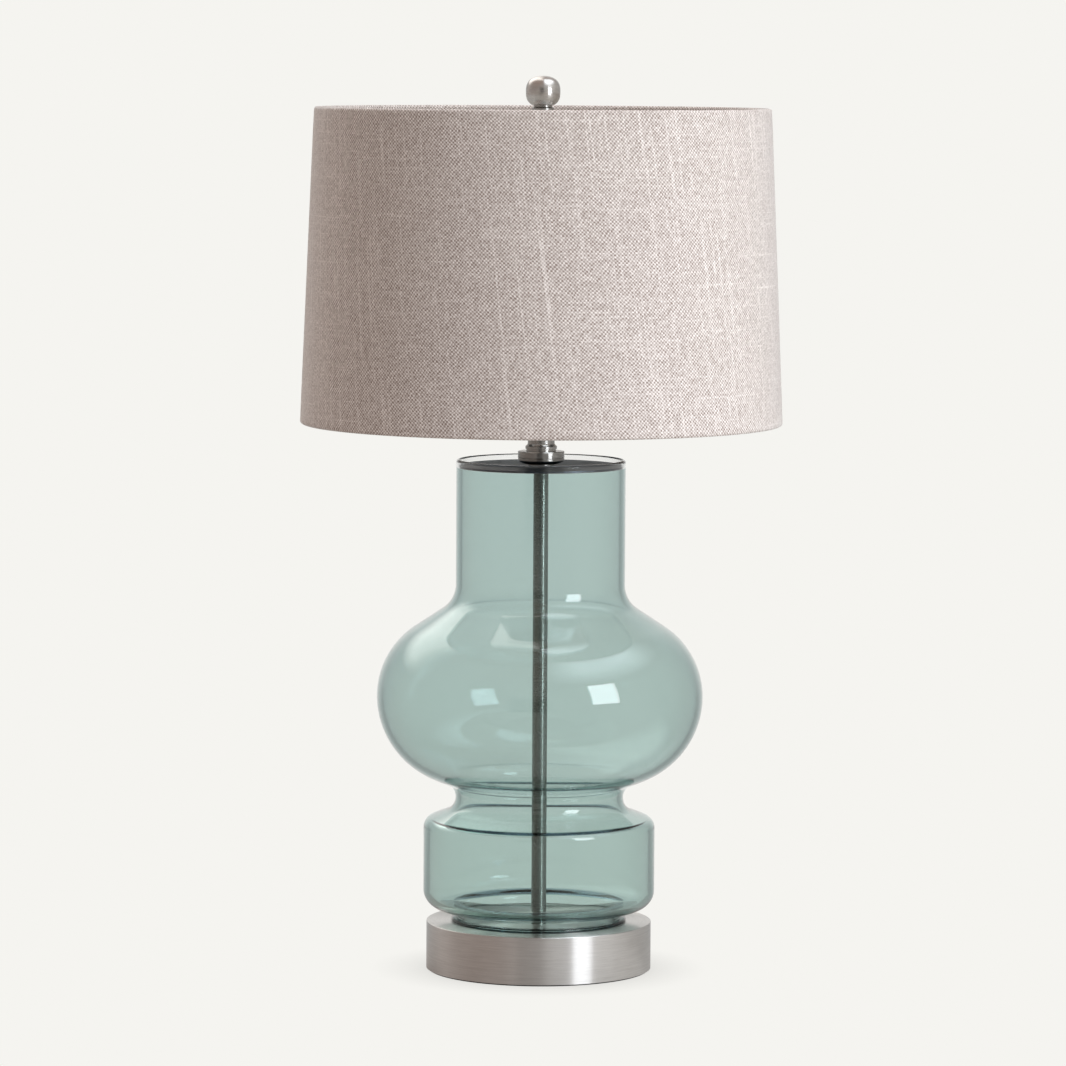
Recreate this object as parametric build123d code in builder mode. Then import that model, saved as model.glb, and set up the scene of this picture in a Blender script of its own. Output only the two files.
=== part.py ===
"""Table lamp: tapered drum shade on a harp, blown glass body round a pole, low metal base.

Millimetres, +Z up. The origin is on the table, under the middle of the lamp. The front is -Y,
and the cord leaves the base at the back, +Y.
"""

import os
from math import acos, atan2, cos, degrees, hypot, pi, radians, sin

from build123d import *

os.makedirs("parts", exist_ok=True)

# ---------------------------------------------------------------- driving dimensions
# Base
base_radius = 95.25  # 7.5 inch drum
base_top = 41.1
drum_wall = 1.5
pad_thickness = 1.2
board_thickness = 1.8
weight_radius = 62.0
weight_thickness = 14.0
cord_height = 14.0
cord_bore_radius = 3.4

# Threaded rod and pole
rod_radius = 5.0  # 1/8 IP lamp pipe
rod_bore_radius = 3.3
rod_bottom = 15.0
rod_top = 468.0
rod_hole_radius = 5.1
pole_radius = 6.35  # 1/2 inch tube
pole_bore_radius = 5.55

# Glass body: the outer surface, and one wall thickness inside it
glass_wall = 5.0
gasket_thickness = 0.6
foot_bottom = base_top + gasket_thickness
neck_radius = 71.5
lip_top = 433.2
lip_wall = 2.5
neck_end = 327.5  # where the straight neck starts to spread
neck_flare_radius = 25.0
bulge_reach = 137.9
bulge_height = 232.6
upper_bulge_radius = 70.0
lower_bulge_radius = 75.0
waist_wall_radius = 71.0
waist_curve_radius = 12.5
waist_height = 146.5
cylinder_radius = 98.0
shoulder_radius = 9.5
shoulder_height = 121.0
heel_radius = 16.0
vessel_bottom = 52.0
foot_neck_radius = 69.5
foot_fillet = 4.0
flange_radius = 74.0
flange_top = 44.3

# Neck hardware, from the plate up
plate_top = 428.3
plate_thickness = 1.2
plate_bottom = plate_top - plate_thickness
plate_radius = neck_radius - lip_wall - 0.2
collar_radius = 19.65
collar_top = 440.4
spool_radius = 11.4
spool_top = 455.3

# Harp: 10.5 inch from the saddle to the seat of the shade
harp_height = 266.7
shade_seat = spool_top + harp_height
saddle_thickness = 2.0
saddle_reach = 29.0
harp_wire_radius = 2.4
harp_half_width = 56.0
leg_bottom = 479.3
sleeve_bottom = 472.0
sleeve_length = 18.0
sleeve_radius = 3.6

# Socket
cap_seat = spool_top + saddle_thickness
cap_rim = 481.0
shell_radius = 16.3
shell_bottom = 475.0
shell_top = 519.0
screw_shell_radius = 13.2
switch_height = 486.0

# Bulb
bulb_base_radius = 13.1
bulb_bottom = 493.7
bulb_base_top = 520.0
bulb_radius = 30.0
bulb_top = 604.0

# Shade: 16 inch across the bottom
shade_bottom_radius = 203.2
shade_top_radius = 191.9
shade_bottom = 463.5
shade_top = 729.0
cloth_thickness = 1.0
liner_thickness = 0.8
skin_gap = 0.05
ring_wire_radius = 1.6
hem_thickness = 0.8
hem_depth = 12.0
hub_radius = 12.7
hub_thickness = 1.6
arm_count = 3

# Finial
stud_radius = 3.175  # 1/4-27 thread
collar_bottom = shade_seat + hub_thickness + 0.3
finial_ball_bottom = 731.0
finial_top = 755.5
finial_radius = 14.55


def save(part, name):
    """Labels a finished piece and writes it as its own STEP file."""
    part.label = name
    export_step(part, f"parts/{name}.step")


def on_circle(centre, radius, angle):
    """The point of a circle at an angle in degrees."""
    return (centre[0] + radius * cos(radians(angle)), centre[1] + radius * sin(radians(angle)))


# ---------------------------------------------------------------- base
with BuildPart() as felt_pad:
    with BuildSketch():
        Circle(base_radius - drum_wall - 0.3)
    extrude(amount=pad_thickness)
save(felt_pad.part, "felt_pad")

with BuildPart() as bottom_board:
    with BuildSketch(Plane.XY.offset(pad_thickness)):
        Circle(base_radius - drum_wall - 0.1)
    extrude(amount=board_thickness)
save(bottom_board.part, "bottom_board")

with BuildPart() as base_drum:
    with BuildSketch(Plane.XY.offset(pad_thickness)):
        Circle(base_radius)
    extrude(amount=base_top - pad_thickness)
    fillet(base_drum.faces().sort_by(Axis.Z)[-1].edges(), radius=0.6)
    with BuildSketch(Plane.XY.offset(pad_thickness)):
        Circle(base_radius - drum_wall)
    extrude(amount=base_top - pad_thickness - drum_wall, mode=Mode.SUBTRACT)
    with BuildSketch(Plane.XY.offset(base_top)):
        Circle(rod_hole_radius)
    extrude(amount=-2 * drum_wall, mode=Mode.SUBTRACT)
    with BuildSketch(Plane((0, base_radius + 2, cord_height), x_dir=(1, 0, 0), z_dir=(0, -1, 0))):
        Circle(5.1)
    extrude(amount=2 * drum_wall + 3, mode=Mode.SUBTRACT)
save(base_drum.part, "base_drum")

weight_top = base_top - drum_wall
with BuildPart() as base_weight:
    with BuildSketch(Plane.XY.offset(weight_top - weight_thickness)):
        Circle(weight_radius)
        Circle(rod_hole_radius + 0.4, mode=Mode.SUBTRACT)
    extrude(amount=weight_thickness)
    chamfer(base_weight.edges().filter_by(GeomType.CIRCLE).group_by(SortBy.RADIUS)[-1], length=1.5)
save(base_weight.part, "base_weight")

# The bushing snaps into the back wall: a flange outside, barbs inside, and a plain bore.
bushing_plane = Plane((0, base_radius + 2.1, cord_height), x_dir=(1, 0, 0), z_dir=(0, -1, 0))
bushing_length = 9.1
with BuildPart() as cord_bushing:
    with BuildSketch(bushing_plane):
        Circle(7.2)
    extrude(amount=2.0)
    fillet(cord_bushing.faces().sort_by(Axis.Y)[-1].edges(), radius=0.9)
    with BuildSketch(bushing_plane):
        Circle(5.0)
    extrude(amount=bushing_length)
    with BuildSketch(bushing_plane.offset(4.4)):
        Circle(6.0)
    extrude(amount=2.4, taper=15)
    with BuildSketch(bushing_plane):
        Circle(cord_bore_radius)
    extrude(amount=bushing_length, mode=Mode.SUBTRACT)
save(cord_bushing.part, "cord_bushing")

# ---------------------------------------------------------------- fasteners under the weight
washer_top = weight_top - weight_thickness
washer_thickness = 1.6
lock_top = washer_top - washer_thickness
lock_thickness = 1.4
nut_top = lock_top - lock_thickness
nut_thickness = 6.0

with BuildPart() as rod_washer:
    with BuildSketch(Plane.XY.offset(washer_top)):
        Circle(14.0)
        Circle(rod_hole_radius, mode=Mode.SUBTRACT)
    extrude(amount=-washer_thickness)
save(rod_washer.part, "rod_washer")

with BuildPart() as rod_lock_washer:
    with BuildSketch(Plane.XY.offset(lock_top)):
        Circle(8.6)
        Circle(rod_hole_radius, mode=Mode.SUBTRACT)
        with Locations((7, 0)):
            Rectangle(5, 0.8, rotation=20, mode=Mode.SUBTRACT)
    extrude(amount=-lock_thickness)
save(rod_lock_washer.part, "rod_lock_washer")

with BuildPart() as rod_nut:
    with BuildSketch(Plane.XY.offset(nut_top)):
        RegularPolygon(radius=7.2, side_count=6, major_radius=False)
        Circle(rod_radius, mode=Mode.SUBTRACT)
    extrude(amount=-nut_thickness)
save(rod_nut.part, "rod_nut")

# ---------------------------------------------------------------- rod and pole
with BuildPart() as threaded_rod:
    with BuildSketch(Plane.XY.offset(rod_bottom)):
        Circle(rod_radius)
        Circle(rod_bore_radius, mode=Mode.SUBTRACT)
    extrude(amount=rod_top - rod_bottom)
save(threaded_rod.part, "threaded_rod")

with BuildPart() as pole_tube:
    with BuildSketch(Plane.XY.offset(base_top)):
        Circle(pole_radius)
        Circle(pole_bore_radius, mode=Mode.SUBTRACT)
    extrude(amount=plate_bottom - base_top)
save(pole_tube.part, "pole_tube")


# ---------------------------------------------------------------- glass body
def crossing_line(first, first_radius, second, second_radius, side):
    """The line that touches two circles and crosses between them: its ends and their angles.

    The side is 1 where the line leaves the first circle on its left, seen towards the second,
    and -1 where it leaves on its right.
    """
    dx = second[0] - first[0]
    dz = second[1] - first[1]
    spread = degrees(acos((first_radius + second_radius) / hypot(dx, dz)))
    angle = degrees(atan2(dz, dx)) + side * spread
    return on_circle(first, first_radius, angle), on_circle(second, second_radius, angle + 180), angle


def glass_profile(inset):
    """Draws one surface of the glass from the neck down to the foot.

    Hollows of the outline grow by the inset and bulges shrink by it, so that the two surfaces
    stay one wall apart.
    """
    flare = neck_flare_radius + inset
    upper = upper_bulge_radius - inset
    lower = lower_bulge_radius - inset
    waist = waist_curve_radius + inset
    shoulder = shoulder_radius - inset
    heel = heel_radius - inset
    hollow = foot_fillet + inset
    flare_centre = (neck_radius + neck_flare_radius, neck_end)
    upper_centre = (bulge_reach - upper_bulge_radius, bulge_height)
    lower_centre = (bulge_reach - lower_bulge_radius, bulge_height)
    waist_centre = (waist_wall_radius + waist_curve_radius, waist_height)
    shoulder_centre = (cylinder_radius - shoulder_radius, shoulder_height)
    heel_centre = (cylinder_radius - heel_radius, vessel_bottom + heel_radius)
    hollow_centre = (foot_neck_radius + foot_fillet, vessel_bottom - foot_fillet)

    start, end, turn = crossing_line(flare_centre, flare, upper_centre, upper, -1)
    CenterArc(flare_centre, flare, 180, turn + 180)
    Line(start, end)
    CenterArc(upper_centre, upper, turn + 180, -turn - 180)

    start, end, turn_in = crossing_line(lower_centre, lower, waist_centre, waist, 1)
    CenterArc(lower_centre, lower, 0, turn_in)
    Line(start, end)

    start, end, turn = crossing_line(waist_centre, waist, shoulder_centre, shoulder, -1)
    CenterArc(waist_centre, waist, turn_in + 180, turn - turn_in + 180)
    Line(start, end)
    CenterArc(shoulder_centre, shoulder, turn + 180, -turn - 180)

    Line((cylinder_radius - inset, shoulder_height), (cylinder_radius - inset, heel_centre[1]))
    CenterArc(heel_centre, heel, 0, -90)
    Line((heel_centre[0], vessel_bottom + inset), (hollow_centre[0], vessel_bottom + inset))
    CenterArc(hollow_centre, hollow, 90, 90)


seat_height = plate_bottom - gasket_thickness
rebate_radius = neck_radius - lip_wall
foot_inner_radius = foot_neck_radius - glass_wall
hollow_height = vessel_bottom - foot_fillet
lip_round = 2.2

with BuildPart() as glass_body:
    with BuildSketch(Plane.XZ):
        with BuildLine():
            glass_profile(0.0)
            Line((neck_radius, neck_end), (neck_radius, lip_top - lip_round))
            CenterArc((neck_radius - lip_round, lip_top - lip_round), lip_round, 0, 90)
            Line((neck_radius - lip_round, lip_top), (rebate_radius, lip_top))
            Line((rebate_radius, lip_top), (rebate_radius, seat_height))
            Line((rebate_radius, seat_height), (neck_radius - glass_wall, seat_height))
            Line((neck_radius - glass_wall, seat_height), (neck_radius - glass_wall, neck_end))
            glass_profile(glass_wall)
            Line((foot_inner_radius, hollow_height), (foot_inner_radius, foot_bottom))
            Line((foot_inner_radius, foot_bottom), (flange_radius, foot_bottom))
            Line((flange_radius, foot_bottom), (flange_radius, flange_top - 1.2))
            Line((flange_radius, flange_top - 1.2), (flange_radius - 1.2, flange_top))
            Line((flange_radius - 1.2, flange_top), (foot_neck_radius, flange_top))
            Line((foot_neck_radius, flange_top), (foot_neck_radius, hollow_height))
        make_face()
    revolve(axis=Axis.Z)
save(glass_body.part, "glass_body")

with BuildPart() as foot_gasket:
    with BuildSketch(Plane.XY.offset(base_top)):
        Circle(flange_radius - 1.0)
        Circle(foot_inner_radius + 1.0, mode=Mode.SUBTRACT)
    extrude(amount=gasket_thickness)
save(foot_gasket.part, "foot_gasket")

with BuildPart() as neck_gasket:
    with BuildSketch(Plane.XY.offset(seat_height)):
        Circle(plate_radius)
        Circle(neck_radius - glass_wall, mode=Mode.SUBTRACT)
    extrude(amount=gasket_thickness)
save(neck_gasket.part, "neck_gasket")

# ---------------------------------------------------------------- neck hardware
with BuildPart() as neck_plate:
    with BuildSketch(Plane.XY.offset(plate_bottom)):
        Circle(plate_radius)
        Circle(rod_hole_radius, mode=Mode.SUBTRACT)
    extrude(amount=plate_thickness)
save(neck_plate.part, "neck_plate")

collar_foot_radius = 11.0
collar_bowl_bottom = plate_top + 1.3
collar_bowl_top = 432.8
groove_height = 434.7
groove_depth = 0.4
with BuildPart() as neck_collar:
    with BuildSketch(Plane.XZ):
        with BuildLine():
            Polyline(
                (collar_foot_radius + 1.4, collar_bowl_bottom),
                (collar_foot_radius, collar_bowl_bottom),
                (collar_foot_radius, plate_top),
                (rod_hole_radius, plate_top),
                (rod_hole_radius, collar_top),
                (collar_radius - 0.5, collar_top),
                (collar_radius, collar_top - 0.5),
                (collar_radius, groove_height + groove_depth),
                (collar_radius - groove_depth, groove_height),
                (collar_radius, groove_height - groove_depth),
                (collar_radius, collar_bowl_top),
            )
            RadiusArc(
                (collar_radius, collar_bowl_top),
                (collar_foot_radius + 1.4, collar_bowl_bottom),
                10.0,
            )
        make_face()
    revolve(axis=Axis.Z)
save(neck_collar.part, "neck_collar")

bead_radius = 13.4
with BuildPart() as neck_spool:
    with BuildSketch(Plane.XZ):
        with BuildLine():
            Polyline(
                (spool_radius, 446.7),
                (spool_radius, 451.5),
                (bead_radius - 0.4, 453.3),
                (bead_radius - 0.4, spool_top),
                (rod_hole_radius, spool_top),
                (rod_hole_radius, collar_top),
                (bead_radius - 0.8, collar_top),
                (bead_radius - 0.8, 442.2),
                (bead_radius, 442.4),
                (bead_radius, 444.5),
            )
            RadiusArc((bead_radius, 444.5), (spool_radius, 446.7), 4.0)
        make_face()
    revolve(axis=Axis.Z)
save(neck_spool.part, "neck_spool")

# ---------------------------------------------------------------- harp
# The saddle is a strap with an upturned round post at each end.
post_radius = harp_wire_radius
with BuildPart() as harp_saddle:
    with BuildSketch(Plane.XY.offset(spool_top)):
        SlotCenterToCenter(2 * saddle_reach, 13.0)
        Circle(rod_hole_radius, mode=Mode.SUBTRACT)
    extrude(amount=saddle_thickness)
    with BuildSketch(Plane.XY.offset(spool_top)):
        with Locations((saddle_reach, 0), (-saddle_reach, 0)):
            Circle(post_radius)
    extrude(amount=leg_bottom - 0.3 - spool_top)
save(harp_saddle.part, "harp_saddle")

# The bow rises straight through the sleeves, spreads round the bulb and closes under the shade.
bow_top = shade_seat - 4.6
boss_radius = 5.0
swivel_bore_radius = 2.05
bow_points = [
    (saddle_reach, leg_bottom),
    (saddle_reach, 514.0),
    (harp_half_width, 562.0),
    (harp_half_width, 642.0),
    (34.0, 704.0),
    (16.0, bow_top),
]
bow_radii = [40.0, 45.0, 60.0, 24.0, 12.0]
bow_route = [(x, 0, z) for x, z in bow_points]
bow_route += [(-x, 0, z) for x, z in reversed(bow_points)]
with BuildPart() as harp_bow:
    with BuildLine() as bow_path:
        FilletPolyline(*bow_route, radius=bow_radii + bow_radii[::-1])
    with BuildSketch(Plane((saddle_reach, 0, leg_bottom), z_dir=(0, 0, 1))):
        Circle(harp_wire_radius)
    sweep()
    with BuildSketch(Plane.XY.offset(bow_top - 3.2)):
        Circle(boss_radius)
    extrude(amount=6.4)
    with BuildSketch(Plane.XY.offset(bow_top - 5)):
        Circle(swivel_bore_radius)
    extrude(amount=10, mode=Mode.SUBTRACT)
save(harp_bow.part, "harp_bow")

# Each sleeve slides over the joint between a post and a leg of the bow.
with BuildPart() as harp_sleeve:
    with BuildSketch(Plane.XY.offset(sleeve_bottom)):
        Circle(sleeve_radius)
    extrude(amount=sleeve_length)
    fillet(harp_sleeve.edges(), radius=0.5)
    with BuildSketch(Plane.XY.offset(sleeve_bottom)):
        Circle(harp_wire_radius + 0.1)
    extrude(amount=sleeve_length, mode=Mode.SUBTRACT)
for side, reach in (("left", -saddle_reach), ("right", saddle_reach)):
    save(harp_sleeve.part.moved(Location((reach, 0, 0))), f"harp_sleeve_{side}")

# The stud swivels in the bow: a riveted head below, the shade's seat, then the finial's thread.
boss_top = bow_top + 3.2
boss_bottom = bow_top - 3.2
with BuildPart() as harp_stud:
    with BuildSketch(Plane.XZ):
        with BuildLine():
            Polyline(
                (0, boss_bottom - 1.8),
                (3.4, boss_bottom - 1.8),
                (3.4, boss_bottom - 0.3),
                (swivel_bore_radius - 0.05, boss_bottom - 0.3),
                (swivel_bore_radius - 0.05, boss_top + 0.2),
                (9.5, boss_top + 0.2),
                (9.5, shade_seat),
                (stud_radius, shade_seat),
                (stud_radius, 736.4),
                (stud_radius - 0.6, 737.0),
                (0, 737.0),
                close=True,
            )
        make_face()
    revolve(axis=Axis.Z)
save(harp_stud.part, "harp_stud")

# ---------------------------------------------------------------- socket
cap_wall = 0.8
cap_radius = shell_radius + 0.1 + cap_wall
with BuildPart() as socket_cap:
    with BuildSketch(Plane.XZ):
        with BuildLine():
            Polyline(
                (rod_radius, cap_seat),
                (8.2, cap_seat),
                (8.2, cap_seat + 6.5),
                (cap_radius, cap_seat + 14.5),
                (cap_radius, cap_rim),
                (cap_radius - cap_wall, cap_rim),
                (cap_radius - cap_wall, cap_seat + 15.0),
                (8.2 - cap_wall, cap_seat + 7.5),
                (rod_radius, cap_seat + 7.5),
                close=True,
            )
        make_face()
    revolve(axis=Axis.Z)
    with BuildSketch(Plane((0, -10, cap_seat + 3.4), x_dir=(1, 0, 0), z_dir=(0, 1, 0))):
        Circle(1.5)
    extrude(amount=5.4, mode=Mode.SUBTRACT)
save(socket_cap.part, "socket_cap")

with BuildPart() as cap_set_screw:
    with BuildSketch(Plane((0, -9.4, cap_seat + 3.4), x_dir=(1, 0, 0), z_dir=(0, 1, 0))):
        Circle(1.5)
    extrude(amount=4.4)
    with BuildSketch(Plane((0, -9.4, cap_seat + 3.4), x_dir=(1, 0, 0), z_dir=(0, 1, 0))):
        Rectangle(3.2, 0.5)
    extrude(amount=0.8, mode=Mode.SUBTRACT)
save(cap_set_screw.part, "cap_set_screw")

switch_plane = Plane((0, 0, switch_height), x_dir=(1, 0, 0), z_dir=(0, -1, 0))
shell_wall = 0.6
liner_wall = 0.7
liner_outer = shell_radius - shell_wall - skin_gap
with BuildPart() as socket_shell:
    with BuildSketch(Plane.XZ):
        with BuildLine():
            Polyline(
                (shell_radius, shell_bottom),
                (shell_radius, 505.5),
                (shell_radius + 0.5, 506.5),
                (shell_radius + 0.5, 508.5),
                (shell_radius, 509.5),
                (shell_radius, shell_top),
                (shell_radius - shell_wall, shell_top),
                (shell_radius - shell_wall, shell_bottom),
                close=True,
            )
        make_face()
    revolve(axis=Axis.Z)
    with BuildSketch(switch_plane):
        Circle(4.2)
    extrude(amount=30, mode=Mode.SUBTRACT)
save(socket_shell.part, "socket_shell")

with BuildPart() as shell_liner:
    with BuildSketch(Plane.XY.offset(shell_bottom + 2)):
        Circle(liner_outer)
        Circle(liner_outer - liner_wall, mode=Mode.SUBTRACT)
    extrude(amount=shell_top - shell_bottom - 3)
    with BuildSketch(switch_plane):
        Circle(4.0)
    extrude(amount=30, mode=Mode.SUBTRACT)
save(shell_liner.part, "shell_liner")

# The body has a flat notch each side for the terminals and a cross bore for the switch shaft.
body_bottom = 477.5
body_top = 492.0
notch = 10.6
with BuildPart() as socket_body:
    with BuildSketch(Plane.XY.offset(body_bottom)):
        Circle(liner_outer - liner_wall - 0.1)
        with Locations((notch + 5, 0), (-notch - 5, 0)):
            Rectangle(10, 30, mode=Mode.SUBTRACT)
    extrude(amount=body_top - body_bottom)
    with BuildSketch(switch_plane):
        Circle(2.6)
    extrude(amount=30, mode=Mode.SUBTRACT)
save(socket_body.part, "socket_body")

with BuildPart() as screw_shell:
    with BuildSketch(Plane.XY.offset(body_top)):
        Circle(screw_shell_radius + 0.6)
        Circle(6.0, mode=Mode.SUBTRACT)
    extrude(amount=0.6)
    with BuildSketch(Plane.XY.offset(body_top + 0.6)):
        Circle(screw_shell_radius + 0.6)
        Circle(screw_shell_radius, mode=Mode.SUBTRACT)
    extrude(amount=shell_top - body_top - 2.6)
save(screw_shell.part, "screw_shell")

with BuildPart() as centre_contact:
    with BuildSketch(Plane.XY.offset(body_top)):
        Circle(4.5)
    extrude(amount=1.3)
    fillet(centre_contact.faces().sort_by(Axis.Z)[-1].edges(), radius=0.6)
save(centre_contact.part, "centre_contact")

terminal_height = 484.0
for name, direction in (("terminal_screw_left", -1), ("terminal_screw_right", 1)):
    terminal_plane = Plane((direction * notch, 0, terminal_height), z_dir=(direction, 0, 0))
    with BuildPart() as terminal_screw:
        with BuildSketch(terminal_plane):
            Circle(3.2)
        extrude(amount=2.0)
        with BuildSketch(terminal_plane.offset(2.0)):
            Rectangle(7, 0.7)
        extrude(amount=-0.8, mode=Mode.SUBTRACT)
    save(terminal_screw.part, name)

# ---------------------------------------------------------------- switch
knob_start = 20.0
knob_length = 14.0
knob_radius = 6.5
with BuildPart() as switch_shaft:
    with BuildSketch(switch_plane.offset(1.0)):
        Circle(2.5)
    extrude(amount=knob_start + knob_length - 4)
save(switch_shaft.part, "switch_shaft")

with BuildPart() as switch_knob:
    with BuildSketch(switch_plane.offset(knob_start)):
        Circle(knob_radius)
        with PolarLocations(knob_radius + 0.5, 16):
            Circle(0.9, mode=Mode.SUBTRACT)
    extrude(amount=knob_length, taper=3)
    with BuildSketch(switch_plane.offset(knob_start)):
        Circle(2.5)
    extrude(amount=knob_length - 3, mode=Mode.SUBTRACT)
save(switch_knob.part, "switch_knob")

# ---------------------------------------------------------------- bulb
with BuildPart() as bulb_tip:
    with BuildSketch(Plane.XZ):
        with BuildLine():
            Polyline(
                (3.4, bulb_bottom + 1.4),
                (0, bulb_bottom + 1.4),
                (0, bulb_bottom),
            )
            ThreePointArc((0, bulb_bottom), (2.5, bulb_bottom + 0.5), (3.4, bulb_bottom + 1.4))
        make_face()
    revolve(axis=Axis.Z)
save(bulb_tip.part, "bulb_tip")

insulator_bottom = bulb_bottom + 1.5
insulator_top = 498.5
with BuildPart() as bulb_insulator:
    with BuildSketch(Plane.XZ):
        Polygon(
            (0, insulator_bottom),
            (4.6, insulator_bottom),
            (9.8, insulator_top),
            (0, insulator_top),
            align=None,
        )
    revolve(axis=Axis.Z)
save(bulb_insulator.part, "bulb_insulator")

with BuildPart() as bulb_base:
    with BuildSketch(Plane.XY.offset(insulator_top)):
        Circle(bulb_base_radius)
    extrude(amount=bulb_base_top - insulator_top)
    chamfer(bulb_base.faces().sort_by(Axis.Z)[0].edges(), length=2.0)
save(bulb_base.part, "bulb_base")

housing_top = 556.0
housing_radius = 27.0
with BuildPart() as bulb_housing:
    with BuildSketch(Plane.XZ):
        with BuildLine():
            Polyline(
                (housing_radius, housing_top),
                (0, housing_top),
                (0, bulb_base_top),
                (13.6, bulb_base_top),
                (14.0, bulb_base_top + 5),
            )
            RadiusArc((14.0, bulb_base_top + 5), (housing_radius, housing_top), 90.0)
        make_face()
    revolve(axis=Axis.Z)
save(bulb_housing.part, "bulb_housing")

# The globe is a thin frosted dome standing on the housing.
globe_centre = bulb_top - bulb_radius
globe_wall = 1.2
with BuildPart() as bulb_globe:
    with Locations((0, 0, globe_centre)):
        Sphere(bulb_radius)
        Sphere(bulb_radius - globe_wall, mode=Mode.SUBTRACT)
    split(bisect_by=Plane.XY.offset(housing_top), keep=Keep.TOP)
save(bulb_globe.part, "bulb_globe")

# ---------------------------------------------------------------- leads, held by the lamp
lead_radius = 1.3
lead_offset = 1.5
floor_run_height = 7.4
wire_nut_place = (12.0, 74.0)
wire_nut_bottom = 13.0
terminal_reach = 12.7
for name, side in (("lead_left", -1), ("lead_right", 1)):
    lead_route = [
        (side * wire_nut_place[0], wire_nut_place[1], wire_nut_bottom + 6),
        (side * wire_nut_place[0], wire_nut_place[1], floor_run_height),
        (side * lead_offset, 0, floor_run_height),
        (side * lead_offset, 0, rod_top + 1.5),
        (side * terminal_reach, 0, 476.2),
        (side * terminal_reach, 0, terminal_height - 3.3),
    ]
    with BuildPart() as lead:
        with BuildLine() as lead_path:
            FilletPolyline(*lead_route, radius=[5.0, 5.5, 4.0, 2.8])
        with BuildSketch(Plane(lead_route[0], z_dir=(0, 0, -1))):
            Circle(lead_radius)
        sweep()
    lead_length = sum(edge.length for edge in lead_path.line.edges())
    lead_share = lead.part.volume / (pi * lead_radius**2 * lead_length)
    print(name, "length", round(lead_length), "mm, volume over section times length", round(lead_share, 3))
    save(lead.part, name)

for name, side in (("wire_nut_left", -1), ("wire_nut_right", 1)):
    nut_plane = Plane((side * wire_nut_place[0], wire_nut_place[1], wire_nut_bottom))
    with BuildPart() as wire_nut:
        with BuildSketch(nut_plane):
            Circle(5.6)
            with PolarLocations(5.9, 8):
                Circle(0.8, mode=Mode.SUBTRACT)
        extrude(amount=18, taper=5)
        with BuildSketch(nut_plane):
            Circle(1.7)
        extrude(amount=9, mode=Mode.SUBTRACT)
    save(wire_nut.part, name)


# ---------------------------------------------------------------- shade
def shade_radius(height):
    """Outer radius of the cloth at a height."""
    share = (height - shade_bottom) / (shade_top - shade_bottom)
    return shade_bottom_radius + share * (shade_top_radius - shade_bottom_radius)


def skin_outline(low, high, outer_inset, thickness):
    """Cross-section of one tapered layer of the shade, between two heights."""
    inner_inset = outer_inset + thickness
    Polygon(
        (shade_radius(low) - outer_inset, low),
        (shade_radius(high) - outer_inset, high),
        (shade_radius(high) - inner_inset, high),
        (shade_radius(low) - inner_inset, low),
        align=None,
    )


roll_radius = ring_wire_radius + hem_thickness
ring_spots = {
    "shade_top": (shade_radius(shade_top) - roll_radius - 0.1, shade_top - roll_radius),
    "shade_bottom": (shade_radius(shade_bottom) - roll_radius - 0.1, shade_bottom + roll_radius),
}
liner_inset = cloth_thickness + skin_gap
hem_inset = liner_inset + liner_thickness + skin_gap

# The spider: a hub on the harp's seat, and wire arms welded to it and to the top ring.
hub_bottom = shade_seat + 0.1
with BuildPart() as spider_hub:
    with BuildSketch(Plane.XY.offset(hub_bottom)):
        Circle(hub_radius)
        Circle(stud_radius + 0.4, mode=Mode.SUBTRACT)
    extrude(amount=hub_thickness)
save(spider_hub.part, "spider_hub")

arm_height = hub_bottom + hub_thickness / 2
top_ring_radius, top_ring_height = ring_spots["shade_top"]
arm_bend = top_ring_radius - 12.0
spider_arms = []
for index in range(arm_count):
    turn = 90 + index * 360 / arm_count
    with BuildPart() as spider_arm:
        with BuildLine(Plane.XZ.rotated((0, 0, turn))):
            FilletPolyline(
                (hub_radius - 1.5, arm_height),
                (arm_bend, arm_height),
                (top_ring_radius - 0.4, top_ring_height - 0.2),
                radius=14.0,
            )
        with BuildSketch(Plane.YZ.rotated((0, 0, turn)).offset(hub_radius - 1.5)):
            with Locations((0, arm_height)):
                Circle(ring_wire_radius)
        sweep()
    spider_arms.append(spider_arm.part)
    save(spider_arm.part, f"spider_arm_{index + 1}")

for name, (ring_radius, ring_height) in ring_spots.items():
    with BuildPart() as wire_ring:
        with BuildSketch(Plane.XZ):
            with Locations((ring_radius, ring_height)):
                Circle(ring_wire_radius)
        revolve(axis=Axis.Z)
    save(wire_ring.part, f"{name}_ring")

    # The cloth turns in over the wire, and its edge hangs inside against the liner.
    inward = 1 if name == "shade_bottom" else -1
    hem_end = ring_height + inward * (hem_depth + roll_radius)
    hem_span = sorted((ring_height, hem_end))
    with BuildPart() as hem:
        with BuildSketch(Plane.XZ):
            with Locations((ring_radius, ring_height)):
                Circle(roll_radius)
            skin_outline(hem_span[0], hem_span[1], hem_inset, hem_thickness)
            with Locations((ring_radius, ring_height)):
                Circle(ring_wire_radius, mode=Mode.SUBTRACT)
        revolve(axis=Axis.Z)
        if name == "shade_top":
            add(spider_arms, mode=Mode.SUBTRACT)
    save(hem.part, f"{name}_hem")

cloth_low = shade_bottom + roll_radius
cloth_high = shade_top - roll_radius
with BuildPart() as shade_cloth:
    with BuildSketch(Plane.XZ):
        skin_outline(cloth_low, cloth_high, 0.0, cloth_thickness)
        with Locations(*ring_spots.values()):
            Circle(roll_radius + skin_gap, mode=Mode.SUBTRACT)
    revolve(axis=Axis.Z)
save(shade_cloth.part, "shade_cloth")

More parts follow.
